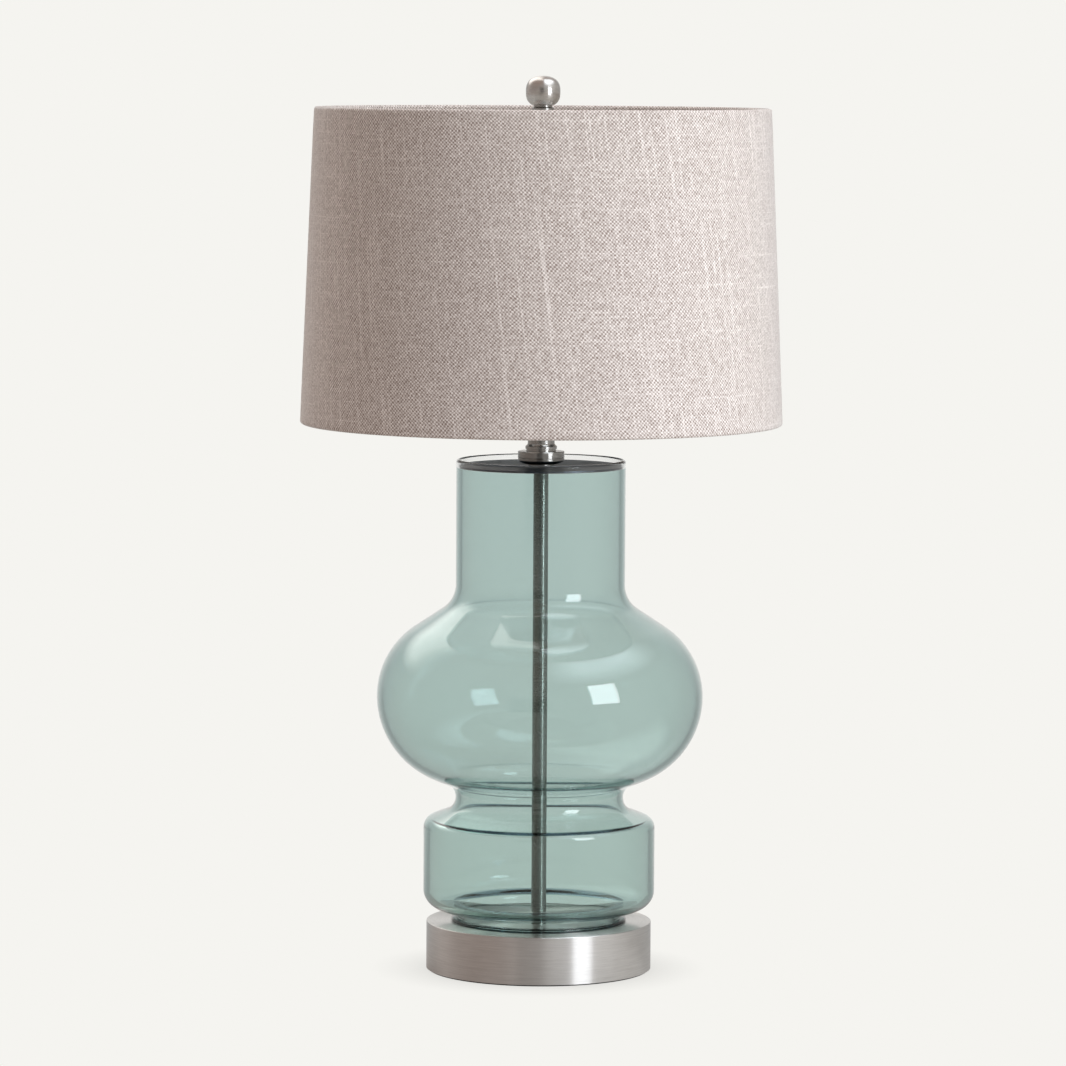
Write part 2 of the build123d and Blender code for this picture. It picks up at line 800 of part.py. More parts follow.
with BuildPart() as shade_liner:
    with BuildSketch(Plane.XZ):
        skin_outline(cloth_low + 3, cloth_high - 3, liner_inset, liner_thickness)
    revolve(axis=Axis.Z)
save(shade_liner.part, "shade_liner")

# ---------------------------------------------------------------- finial
insert_radius = 4.8
insert_top = 739.0
with BuildPart() as finial_insert:
    with BuildSketch(Plane.XY.offset(collar_bottom)):
        Circle(insert_radius)
        Circle(stud_radius + 0.08, mode=Mode.SUBTRACT)
    extrude(amount=insert_top - collar_bottom)
save(finial_insert.part, "finial_insert")

finial_bore = insert_radius + 0.08
finial_collar_radius = 9.25
with BuildPart() as finial_collar:
    with BuildSketch(Plane.XZ):
        with BuildLine():
            Polyline(
                (finial_bore, collar_bottom),
                (finial_collar_radius - 0.6, collar_bottom),
                (finial_collar_radius, collar_bottom + 0.6),
                (finial_collar_radius, 728.6),
                (finial_collar_radius - 1.4, 729.6),
                (finial_collar_radius - 1.4, finial_ball_bottom),
                (finial_bore, finial_ball_bottom),
                close=True,
            )
        make_face()
    revolve(axis=Axis.Z)
save(finial_collar.part, "finial_collar")

ball_height = finial_top - finial_ball_bottom
with BuildPart() as finial_ball:
    with BuildSketch(Plane.XZ):
        with BuildLine():
            Line((0, finial_ball_bottom), (finial_collar_radius, finial_ball_bottom))
            Spline(
                (finial_collar_radius, finial_ball_bottom),
                (finial_radius, finial_ball_bottom + 0.50 * ball_height),
                (0, finial_top),
                tangents=((1, 0.6), (0, 1), (-1, 0)),
            )
            Line((0, finial_top), (0, finial_ball_bottom))
        make_face()
    revolve(axis=Axis.Z)
    with BuildSketch(Plane.XY.offset(finial_ball_bottom)):
        Circle(finial_bore)
    extrude(amount=insert_top + 0.3 - finial_ball_bottom, mode=Mode.SUBTRACT)
save(finial_ball.part, "finial_ball")
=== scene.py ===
"""Table lamp with a drum shade on a harp, a blown glass body round a pole, and a brushed base."""
from math import acos, atan2, ceil, cos, degrees, hypot, pi, radians, sin

import bpy
from mathutils import Matrix, Vector


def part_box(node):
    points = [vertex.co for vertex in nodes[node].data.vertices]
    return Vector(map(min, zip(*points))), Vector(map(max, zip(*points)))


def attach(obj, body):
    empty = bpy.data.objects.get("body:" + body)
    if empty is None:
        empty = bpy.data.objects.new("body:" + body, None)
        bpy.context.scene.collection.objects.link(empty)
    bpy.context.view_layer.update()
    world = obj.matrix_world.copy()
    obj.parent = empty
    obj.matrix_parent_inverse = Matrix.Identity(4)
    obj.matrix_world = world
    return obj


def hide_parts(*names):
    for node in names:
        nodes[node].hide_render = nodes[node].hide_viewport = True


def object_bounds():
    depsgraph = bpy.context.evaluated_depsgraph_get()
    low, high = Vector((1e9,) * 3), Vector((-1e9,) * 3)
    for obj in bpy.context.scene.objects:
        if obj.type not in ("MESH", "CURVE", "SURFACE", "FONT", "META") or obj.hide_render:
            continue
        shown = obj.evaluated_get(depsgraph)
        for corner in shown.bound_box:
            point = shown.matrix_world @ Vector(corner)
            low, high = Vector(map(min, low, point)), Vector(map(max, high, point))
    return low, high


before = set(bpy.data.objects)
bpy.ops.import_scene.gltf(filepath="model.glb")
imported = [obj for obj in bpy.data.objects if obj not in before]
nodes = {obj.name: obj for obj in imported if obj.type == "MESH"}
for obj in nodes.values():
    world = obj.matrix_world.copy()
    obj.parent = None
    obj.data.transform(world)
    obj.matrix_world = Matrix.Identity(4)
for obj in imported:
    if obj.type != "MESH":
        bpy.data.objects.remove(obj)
cad_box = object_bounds()
scene = bpy.context.scene
MM = 0.001

# ---------------------------------------------------------------- camera
CAMERA_DISTANCE = 4.572
CAMERA_HEIGHT = 0.7773
CAMERA_LEFT = -0.0065
CAMERA_PITCH = 5.08
CAMERA_ROLL = 0.31
LENS = 183.65

camera_data = bpy.data.cameras.new("camera")
camera_data.lens = LENS
camera_data.sensor_width = 36.0
camera_data.clip_end = 40.0
camera = bpy.data.objects.new("camera", camera_data)
scene.collection.objects.link(camera)
camera.matrix_world = (
    Matrix.Translation((CAMERA_LEFT, -CAMERA_DISTANCE, CAMERA_HEIGHT))
    @ Matrix.Rotation(radians(90 - CAMERA_PITCH), 4, "X")
    @ Matrix.Rotation(radians(CAMERA_ROLL), 4, "Z")
)
scene.camera = camera
scene.view_settings.view_transform = "Standard"
scene.view_settings.look = "None"

# ---------------------------------------------------------------- shader graph helpers
BACKDROP = (0.913, 0.905, 0.871)


class Graph:
    """Adds shader nodes to a tree and joins them."""

    def __init__(self, tree):
        self.tree = tree

    def add(self, kind, inputs=None, **settings):
        """A new node. An input is a number, a colour or another node's socket."""
        node = self.tree.nodes.new(kind)
        for name, value in settings.items():
            setattr(node, name, value)
        for key, value in (inputs or {}).items():
            if isinstance(value, bpy.types.NodeSocket):
                self.tree.links.new(value, node.inputs[key])
            else:
                node.inputs[key].default_value = value
        return node

    def math(self, operation, first, second=0.0, third=0.0):
        inputs = {0: first, 1: second, 2: third}
        return self.add("ShaderNodeMath", inputs, operation=operation).outputs[0]

    def mix(self, share, first, second):
        """A colour between two others."""
        node = self.add("ShaderNodeMix", data_type="RGBA")
        for index, value in ((0, share), (6, first), (7, second)):
            if isinstance(value, bpy.types.NodeSocket):
                self.tree.links.new(value, node.inputs[index])
            elif index:
                node.inputs[index].default_value = (*value, 1.0)
            else:
                node.inputs[index].default_value = value
        return node.outputs[2]

    def span(self, value, low, high, to_low=0.0, to_high=1.0):
        """Stretches a value between two limits to another pair, held at the ends."""
        limits = {"From Min": low, "From Max": high, "To Min": to_low, "To Max": to_high}
        return self.add("ShaderNodeMapRange", {"Value": value, **limits}).outputs[0]

    def vector(self, x, y, z=0.0):
        return self.add("ShaderNodeCombineXYZ", {0: x, 1: y, 2: z}).outputs[0]

    def noise(self, vector, scale=1.0, detail=2.0, roughness=0.5):
        return self.add(
            "ShaderNodeTexNoise",
            {"Vector": vector, "Scale": scale, "Detail": detail, "Roughness": roughness},
        ).outputs[0]


def object_spot(graph):
    """The object's own coordinates."""
    return graph.add("ShaderNodeTexCoord").outputs["Object"]


def separate(graph, vector):
    """The three parts of a vector."""
    return graph.add("ShaderNodeSeparateXYZ", {0: vector}).outputs[:3]


def new_material(name, **constants):
    """A material with one Principled shader. The constants are set on its own sockets."""
    material = bpy.data.materials.new(name)
    material.use_nodes = True
    graph = Graph(material.node_tree)
    shader = material.node_tree.nodes["Principled BSDF"]
    for key, value in constants.items():
        shader.inputs[key.replace("_", " ")].default_value = value
    return material, graph, shader


def finish_surface(graph, shader, colour, roughness, height, depth, strength=1.0):
    """Drives colour, roughness and bump of a shader from sockets."""
    graph.tree.links.new(colour, shader.inputs["Base Color"])
    graph.tree.links.new(roughness, shader.inputs["Roughness"])
    bump = graph.add("ShaderNodeBump", {"Strength": strength, "Distance": depth, "Height": height})
    graph.tree.links.new(bump.outputs[0], shader.inputs["Normal"])


# ---------------------------------------------------------------- materials
SCRATCHES_ACROSS = 5200.0  # noise cells in a metre across the brushing
SCRATCHES_ALONG = 9.0  # noise cells in a radian along it
BANDS_ACROSS = 900.0
BANDS_ALONG = 3.0
SCRATCH_DEPTH = 0.000003


def turned_metal(name, low, high, smooth, rough, anisotropy, edge=1.0):
    """Metal brushed round the lamp's axis: fine scratches along the circumference.

    edge is how much it mirrors at a grazing view.
    """
    material, graph, shader = new_material(
        name, Metallic=1.0, Anisotropic=anisotropy, Anisotropic_Rotation=0.25,
        Specular_Tint=(edge, edge, edge, 1.0),
    )
    spot = object_spot(graph)
    x, y, height = separate(graph, spot)
    square = graph.math("MULTIPLY_ADD", y, y, graph.math("MULTIPLY", x, x))
    radius = graph.math("SQRT", square)
    angle = graph.math("ARCTAN2", y, x)

    def stretched(across, along):
        return graph.vector(
            graph.math("MULTIPLY", radius, across),
            graph.math("MULTIPLY", height, across),
            graph.math("MULTIPLY", angle, along),
        )

    fine = stretched(SCRATCHES_ACROSS, SCRATCHES_ALONG)
    coarse = stretched(BANDS_ACROSS, BANDS_ALONG)
    scratches = graph.noise(fine, detail=3.0, roughness=0.6)
    bands = graph.noise(coarse, detail=2.0)
    clouds = graph.noise(spot, scale=28.0, detail=3.0)
    tone = graph.math("MULTIPLY_ADD", scratches, 0.55, graph.math("MULTIPLY", bands, 0.45))
    tone = graph.math("MULTIPLY_ADD", clouds, 0.25, graph.math("MULTIPLY", tone, 0.75))
    colour = graph.mix(graph.span(tone, 0.35, 0.65), low, high)
    roughness = graph.span(tone, 0.3, 0.7, rough, smooth)
    finish_surface(graph, shader, colour, roughness, scratches, SCRATCH_DEPTH)
    tangent = graph.add("ShaderNodeTangent", direction_type="RADIAL", axis="Z")
    graph.tree.links.new(tangent.outputs[0], shader.inputs["Tangent"])
    return material


def plain_metal(name, low, high, smooth, rough, grain=1600.0, pits=0.000004):
    """Plated or cast metal with a fine even grain and slight clouding."""
    material, graph, shader = new_material(name, Metallic=1.0)
    spot = object_spot(graph)
    fine = graph.noise(spot, scale=grain, detail=3.0)
    clouds = graph.noise(spot, scale=60.0, detail=4.0, roughness=0.6)
    tone = graph.math("MULTIPLY_ADD", clouds, 0.6, graph.math("MULTIPLY", fine, 0.4))
    colour = graph.mix(graph.span(tone, 0.35, 0.65), low, high)
    roughness = graph.span(tone, 0.35, 0.65, rough, smooth)
    finish_surface(graph, shader, colour, roughness, fine, pits, 0.6)
    return material


def moulded(name, low, high, smooth, rough, grain=900.0, dents=0.00004, **constants):
    """Moulded or painted material with a fine orange-peel surface and slight tone changes."""
    material, graph, shader = new_material(name, **constants)
    spot = object_spot(graph)
    fine = graph.noise(spot, scale=grain, detail=2.0)
    clouds = graph.noise(spot, scale=45.0, detail=4.0, roughness=0.6)
    colour = graph.mix(graph.span(clouds, 0.3, 0.7), low, high)
    roughness = graph.span(fine, 0.3, 0.7, smooth, rough)
    finish_surface(graph, shader, colour, roughness, fine, dents, 0.5)
    return material


def matted(name, low, high, fibre, depth, **constants):
    """Pressed fibres: felt, board or paper."""
    material, graph, shader = new_material(name, **constants)
    spot = object_spot(graph)
    strands = graph.noise(spot, scale=fibre, detail=6.0, roughness=0.75)
    clouds = graph.noise(spot, scale=90.0, detail=4.0)
    tone = graph.math("MULTIPLY_ADD", clouds, 0.4, graph.math("MULTIPLY", strands, 0.6))
    colour = graph.mix(graph.span(tone, 0.35, 0.65), low, high)
    roughness = graph.span(strands, 0.3, 0.7, 0.85, 1.0)
    finish_surface(graph, shader, colour, roughness, strands, depth, 0.9)
    return material


def glass_material(name, tint, mirror_tint):
    """Blown glass with slight waves and upright streaks.

    tint colours what passes the surface, low down and high up. mirror_tint colours what the
    surface mirrors back into the glass. The softbox's light passes straight through, weakened.
    """
    material, graph, shader = new_material(name)
    tree = material.node_tree
    tree.nodes.remove(shader)
    spot = object_spot(graph)
    x, y, height = separate(graph, spot)
    upright = graph.vector(
        graph.math("MULTIPLY", x, STREAKS_ACROSS),
        graph.math("MULTIPLY", y, STREAKS_ACROSS),
        graph.math("MULTIPLY", height, STREAKS_ALONG),
    )
    streaks = graph.noise(upright, detail=1.0)
    waves = graph.noise(spot, scale=GLASS_WAVES, detail=1.0)
    uneven = graph.math("MULTIPLY_ADD", streaks, STREAK_SHARE, waves)
    bump = graph.add(
        "ShaderNodeBump", {"Strength": 1.0, "Distance": GLASS_WAVE_DEPTH, "Height": uneven}
    ).outputs[0]
    share = graph.span(height, *TINT_HEIGHTS)
    inside = graph.add("ShaderNodeNewGeometry").outputs["Backfacing"]
    passed = graph.mix(share, *tint)
    mirrored = graph.mix(inside, (1.0, 1.0, 1.0), mirror_tint)
    surface = {"Roughness": 0.0, "Normal": bump}
    bent = graph.add("ShaderNodeBsdfRefraction", {"Color": passed, "IOR": GLASS_IOR, **surface})
    mirror = graph.add("ShaderNodeBsdfGlossy", {"Color": mirrored, **surface})
    fresnel = graph.add("ShaderNodeFresnel", {"IOR": GLASS_IOR, "Normal": bump})
    glass = graph.add(
        "ShaderNodeMixShader", {0: fresnel.outputs[0], 1: bent.outputs[0], 2: mirror.outputs[0]}
    )
    lamp_rays = graph.add("ShaderNodeLightPath").outputs["Is Shadow Ray"]
    clear = graph.add("ShaderNodeBsdfTransparent", {"Color": (*LAMP_TINT, 1.0)})
    both = graph.add(
        "ShaderNodeMixShader", {0: lamp_rays, 1: glass.outputs[0], 2: clear.outputs[0]}
    )
    graph.tree.links.new(both.outputs[0], tree.nodes["Material Output"].inputs["Surface"])
    return material


def linen_material():
    """A slubbed plain weave: light grains over a taupe ground, laid out on the weave map."""
    material, graph, shader = new_material(
        "linen_cloth", Roughness=0.92, Sheen_Weight=1.0, Sheen_Roughness=0.3,
        Sheen_Tint=(0.98, 0.96, 0.94, 1.0),
    )
    weave = graph.add("ShaderNodeUVMap", uv_map="weave").outputs[0]
    flat_x, flat_y, _ = separate(graph, weave)

    def centred(scale, **kind):
        """Noise that averages to zero."""
        return graph.math("SUBTRACT", graph.noise(weave, scale=scale, **kind), 0.5)

    slow = centred(SLOW_DRIFT, detail=1.0)
    quick = centred(QUICK_DRIFT, detail=1.0)
    drift = graph.math(
        "MULTIPLY_ADD", slow, SLOW_DRIFT_THREADS,
        graph.math("MULTIPLY", quick, QUICK_DRIFT_THREADS),
    )
    leaning = graph.math("MULTIPLY_ADD", flat_y, WARP_LEAN, flat_x)
    across = graph.math("ADD", graph.math("DIVIDE", leaning, THREAD), drift)
    up = graph.math("SUBTRACT", graph.math("DIVIDE", flat_y, THREAD), drift)

    # A light grain stands on every second crossing, with pits between.
    warp = graph.math("SINE", graph.math("MULTIPLY", across, pi))
    weft = graph.math("SINE", graph.math("MULTIPLY", up, pi))
    grain = graph.math("MULTIPLY", warp, weft)
    crossing_at = graph.vector(graph.math("FLOOR", across), graph.math("FLOOR", up))
    uneven = graph.add("ShaderNodeTexWhiteNoise", {"Vector": crossing_at}).outputs[0]
    uneven = graph.math("SUBTRACT", uneven, 0.5)

    def slubs(cells_across, cells_up, offset):
        """Thick stretches of single threads."""
        stretched = graph.vector(
            graph.math("MULTIPLY", leaning, cells_across),
            graph.math("MULTIPLY", flat_y, cells_up),
            offset,
        )
        return graph.span(graph.noise(stretched, detail=1.0), 0.56, 0.76)

    weft_slubs = graph.math("MULTIPLY", slubs(*WEFT_SLUBS), WEFT_SLUB_SHARE)
    slub = graph.math("MAXIMUM", weft_slubs, slubs(*WARP_SLUBS))
    fuzz = centred(FUZZ, detail=3.0, roughness=0.7)
    clouds = centred(CLOTH_CLOUDS, detail=3.0)

    light_share = graph.math("MULTIPLY_ADD", grain, 0.46, 0.46)
    for part, weight in ((uneven, 0.36), (slub, 0.26), (fuzz, 0.40), (clouds, 0.06)):
        light_share = graph.math("MULTIPLY_ADD", part, weight, light_share)
    colour = graph.mix(light_share, LINEN_GROUND, LINEN_THREAD)
    height = graph.math("MULTIPLY_ADD", slub, 0.6, grain)
    height = graph.math("MULTIPLY_ADD", fuzz, 0.3, height)
    roughness = graph.span(fuzz, -0.2, 0.2, 0.86, 0.98)
    finish_surface(graph, shader, colour, roughness, height, GRAIN_DEPTH, 0.9)
    return material


THREAD = 0.00158  # from one thread of the shade's cloth to the next
WARP_LEAN = 0.12  # how far the upright threads lean to the side
SLOW_DRIFT = 70.0  # noise cells in a metre, as in the next three
QUICK_DRIFT = 420.0
FUZZ = 2600.0
CLOTH_CLOUDS = 14.0
WEFT_SLUBS = (11.0, 480.0, 3.1)  # noise cells in a metre across and up, and an offset
WARP_SLUBS = (520.0, 8.0, 7.7)
WEFT_SLUB_SHARE = 0.7
SLOW_DRIFT_THREADS = 1.5  # how many threads the drift spans
QUICK_DRIFT_THREADS = 0.6
GRAIN_DEPTH = 0.00016
LINEN_GROUND = (0.31, 0.24, 0.21)
LINEN_THREAD = (1.0, 0.93, 0.89)
GLASS_IOR = 1.46
COAT_TINT = ((0.66, 0.765, 0.745), (0.686, 0.784, 0.775))  # by the foot and by the neck
COAT_MIRROR = (0.30, 0.38, 0.44)
CLEAR_TINT = ((0.985, 0.99, 0.99), (0.985, 0.99, 0.99))
CLEAR_MIRROR = (0.97, 0.98, 0.98)
LAMP_TINT = (0.55, 0.60, 0.59)  # what is left of the softbox's light behind one surface
TINT_HEIGHTS = (0.06, 0.36)  # in metres, from the one tint to the other
GLASS_WAVES = 20.0  # noise cells in a metre
GLASS_WAVE_DEPTH = 0.00004
STREAKS_ACROSS = 110.0  # noise cells in a metre, sideways and then up
STREAKS_ALONG = 7.0
STREAK_SHARE = 0.12

NICKEL = ((0.68, 0.655, 0.63), (0.84, 0.82, 0.795))
# A darker copy of the brushed nickel for the base: painted shade that dims its highlight and
# reflections.
BASE_NICKEL_PAINTED_SHADE = ((0.57, 0.555, 0.54), (0.73, 0.715, 0.70))
# A darker copy of the brushed nickel for the finial ball: painted shade that makes it darker than
# the base's nickel.
BALL_NICKEL_PAINTED_SHADE = ((0.50, 0.48, 0.46), (0.66, 0.64, 0.615))
# A darker copy of the brushed nickel for the collar, spool and finial collar: painted shade, as
# they sit close under or within the lamp shade.
NICKEL_PAINTED_SHADE = ((0.31, 0.305, 0.29), (0.44, 0.43, 0.415))
# A near-black, blue-grey colour for the neck plate; its blue-grey tint is a painted reflection of
# the teal glass round it.
PLATE_DARK_PAINTED_TEAL_REFLECTION = ((0.045, 0.06, 0.075), (0.085, 0.105, 0.125))
# A darker copy of the brushed nickel for the pole: painted shade for the dim, tinted light inside
# the glass.
POLE_NICKEL_PAINTED_SHADE = ((0.32, 0.31, 0.29), (0.42, 0.41, 0.39))
TURNED = {
    # colours, lowest and highest roughness, anisotropy, mirroring at a grazing view
    "base_drum": (BASE_NICKEL_PAINTED_SHADE, 0.28, 0.33, 1.0, 0.8),
    "neck_plate": (PLATE_DARK_PAINTED_TEAL_REFLECTION, 0.30, 0.38, 0.3, 0.35),
    "neck_collar": (NICKEL_PAINTED_SHADE, 0.18, 0.24, 0.8, 0.9),
    "neck_spool": (NICKEL_PAINTED_SHADE, 0.18, 0.24, 0.8, 0.9),
    "finial_collar": (NICKEL_PAINTED_SHADE, 0.18, 0.24, 0.8, 0.9),
    "finial_ball": (BALL_NICKEL_PAINTED_SHADE, 0.22, 0.28, 0.8, 0.9),
    "pole_tube": (POLE_NICKEL_PAINTED_SHADE, 0.24, 0.29, 1.0, 1.0),
    "socket_cap": (NICKEL, 0.28, 0.36, 0.8, 1.0),
    "socket_shell": (NICKEL, 0.28, 0.36, 0.8, 1.0),
}
coated_glass = glass_material("coated_glass", COAT_TINT, COAT_MIRROR)
clear_glass = glass_material("clear_glass", CLEAR_TINT, CLEAR_MIRROR)

finishes = {
    "brushed_nickel": plain_metal("satin_nickel", *NICKEL, 0.24, 0.34),
    "teal_glass": coated_glass,
    "linen_cloth": linen_material(),
    "shade_backing": matted(
        "shade_backing", (0.80, 0.79, 0.76), (0.87, 0.86, 0.84), 1500.0, 0.00004
    ),
    "coated_wire": moulded(
        "coated_wire", (0.80, 0.79, 0.77), (0.88, 0.87, 0.85), 0.28, 0.42
    ),
    "zinc_steel": plain_metal(
        "zinc_steel", (0.50, 0.51, 0.52), (0.68, 0.69, 0.70), 0.25, 0.42, 700.0
    ),
    "brass_metal": plain_metal(
        "brass_metal", (0.62, 0.46, 0.20), (0.80, 0.62, 0.31), 0.22, 0.36
    ),
    "cast_weight": plain_metal(
        "cast_weight", (0.10, 0.10, 0.105), (0.22, 0.22, 0.225), 0.50, 0.72, 420.0, 0.00018
    ),
    "fibre_board": matted(
        "fibre_board", (0.12, 0.085, 0.055), (0.22, 0.16, 0.11), 1100.0, 0.00008
    ),
    "felt": matted(
        "felt", (0.012, 0.012, 0.014), (0.045, 0.045, 0.05), 2400.0, 0.0003, Sheen_Weight=0.3
    ),
    "black_rubber": moulded(
        "black_rubber", (0.012, 0.012, 0.012), (0.03, 0.03, 0.03), 0.45, 0.62
    ),
    "smoke_gasket": moulded(
        "smoke_gasket", (0.03, 0.035, 0.04), (0.06, 0.07, 0.075), 0.35, 0.5
    ),
    "phenolic": moulded("phenolic", (0.012, 0.011, 0.010), (0.035, 0.030, 0.027), 0.22, 0.36),
    "insulating_paper": matted(
        "insulating_paper", (0.34, 0.25, 0.16), (0.50, 0.39, 0.27), 1300.0, 0.00006
    ),
    "lead_insulation": moulded(
        "lead_insulation", (0.60, 0.59, 0.56), (0.72, 0.71, 0.68), 0.35, 0.5
    ),
    "nut_cap_plastic": moulded(
        "nut_cap_plastic", (0.62, 0.20, 0.03), (0.75, 0.28, 0.05), 0.35, 0.5
    ),
    "bulb_metal": plain_metal(
        "bulb_metal", (0.66, 0.66, 0.67), (0.80, 0.80, 0.81), 0.18, 0.30
    ),
    "bulb_black_glass": moulded(
        "bulb_black_glass", (0.006, 0.006, 0.007), (0.02, 0.02, 0.02), 0.06, 0.12
    ),
    "bulb_housing_plastic": moulded(
        "bulb_housing_plastic", (0.80, 0.80, 0.79), (0.88, 0.88, 0.87), 0.32, 0.45
    ),
    "frosted_globe": moulded(
        "frosted_globe", (0.86, 0.86, 0.84), (0.92, 0.92, 0.90), 0.30, 0.42,
        Subsurface_Weight=0.4, Subsurface_Scale=0.01,
    ),
}

for name, node in nodes.items():
    slot_name = node.material_slots[0].material.name.split(".")[0]
    for slot in node.material_slots:
        if name in TURNED:
            colours, *surface = TURNED[name]
            slot.material = turned_metal(f"turned_{name}", *colours, *surface)
        else:
            slot.material = finishes[slot_name]


# ---------------------------------------------------------------- mesh helpers
def arc(centre, radius, start, turn):
    """Points of an arc, from a start angle through a turn, in degrees."""
    steps = max(4, ceil(abs(turn) * (radius + 30) / 110))
    angles = [radians(start + turn * step / steps) for step in range(steps + 1)]
    return [(centre[0] + radius * cos(angle), centre[1] + radius * sin(angle)) for angle in angles]


def joined(*stretches, longest=4.0):
    """One closed outline from several stretches, with long gaps filled by even steps."""
    points = []
    for stretch in stretches:
        for point in stretch:
            if points:
                gap = hypot(point[0] - points[-1][0], point[1] - points[-1][1])
                if gap < 1e-6:
                    continue
                steps = ceil(gap / longest)
                last = points[-1]
                for step in range(1, steps):
                    share = step / steps
                    between = (
                        last[0] + share * (point[0] - last[0]),
                        last[1] + share * (point[1] - last[1]),
                    )
                    points.append(between)
            points.append(point)
    return points


def lathe(name, outline, columns=288, ripple=None, slots=None, sharp=35.0):
    """Turns a closed outline in millimetres round the Z axis into one closed mesh.

    ripple(angle, radius, height) moves a point outwards. slots gives each outline step a material.
    """
    count = len(outline)
    vertices = []
    for column in range(columns):
        angle = 2 * pi * column / columns
        for radius, height in outline:
            reach = radius + (ripple(angle, radius, height) if ripple else 0.0)
            vertices.append((reach * cos(angle) * MM, reach * sin(angle) * MM, height * MM))
    faces = []
    for column in range(columns):
        here = column * count
        there = ((column + 1) % columns) * count
        for step in range(count):
            following = (step + 1) % count
            faces.append((here + step, there + step, there + following, here + following))
    mesh = bpy.data.meshes.new(name)
    mesh.from_pydata(vertices, [], faces)
    mesh.polygons.foreach_set("use_smooth", [True] * len(faces))
    if slots:
        mesh.polygons.foreach_set("material_index", slots * columns)
    mesh.set_sharp_from_angle(angle=radians(sharp))
    mesh.validate()
    mesh.update()
    piece = bpy.data.objects.new(name, mesh)
    scene.collection.objects.link(piece)
    return piece


def stands_for(piece, body, slot, *replaced, materials=None):
    """Gives a piece its material, body and slot, and hides the CAD nodes that it stands for."""
    for material in materials or [finishes[slot]]:
        piece.data.materials.append(material)
    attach(piece, body)
    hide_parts(*replaced)
    return piece


# ---------------------------------------------------------------- glass
GLASS_WALL = 5.0
NECK_RADIUS = 71.5
NECK_END = 327.5
FLARE_RADIUS = 25.0
BULGE_HEIGHT = 232.6
UPPER_BULGE_RADIUS = 70.0
LOWER_BULGE_RADIUS = 75.0
WAIST_RADIUS = 71.0
WAIST_CURVE = 12.5
WAIST_HEIGHT = 146.5
CYLINDER_RADIUS = 98.0
SHOULDER_RADIUS = 9.5
SHOULDER_HEIGHT = 121.0
HEEL_RADIUS = 16.0
VESSEL_BOTTOM = 52.0
FOOT_RADIUS = 69.5
FOOT_FILLET = 4.0
FLANGE_RADIUS = 74.0
FLANGE_TOP = 44.3
FLANGE_ROUND = 1.2
LIP_WALL = 2.5
LIP_ROUND = 2.2
GASKET = 0.6


def crossing(first, first_radius, second, second_radius, side):
    """The angle, in degrees, at which a line that crosses between two circles leaves the first."""
    dx = second[0] - first[0]
    dz = second[1] - first[1]
    spread = degrees(acos((first_radius + second_radius) / hypot(dx, dz)))
    return degrees(atan2(dz, dx)) + side * spread


def glass_surface(inset, reach):
    """Arcs of one surface of the glass, from the neck to the foot, inset from the outer one."""
    flare = FLARE_RADIUS + inset
    upper = UPPER_BULGE_RADIUS - inset
    lower = LOWER_BULGE_RADIUS - inset
    waist = WAIST_CURVE + inset
    shoulder = SHOULDER_RADIUS - inset
    flare_centre = (NECK_RADIUS + FLARE_RADIUS, NECK_END)
    upper_centre = (reach - UPPER_BULGE_RADIUS, BULGE_HEIGHT)
    lower_centre = (reach - LOWER_BULGE_RADIUS, BULGE_HEIGHT)
    waist_centre = (WAIST_RADIUS + WAIST_CURVE, WAIST_HEIGHT)
    shoulder_centre = (CYLINDER_RADIUS - SHOULDER_RADIUS, SHOULDER_HEIGHT)
    heel_centre = (CYLINDER_RADIUS - HEEL_RADIUS, VESSEL_BOTTOM + HEEL_RADIUS)
    hollow_centre = (FOOT_RADIUS + FOOT_FILLET, VESSEL_BOTTOM - FOOT_FILLET)
    over = crossing(flare_centre, flare, upper_centre, upper, -1)
    under = crossing(lower_centre, lower, waist_centre, waist, 1)
    out = crossing(waist_centre, waist, shoulder_centre, shoulder, -1)
    return [
        arc(flare_centre, flare, 180, over + 180),
        arc(upper_centre, upper, over + 180, -over - 180),
        arc(lower_centre, lower, 0, under),
        arc(waist_centre, waist, under + 180, out - under + 180),
        arc(shoulder_centre, shoulder, out + 180, -out - 180),
        arc(heel_centre, HEEL_RADIUS - inset, 0, -90),
        arc(hollow_centre, FOOT_FILLET + inset, 90, 90),
    ]


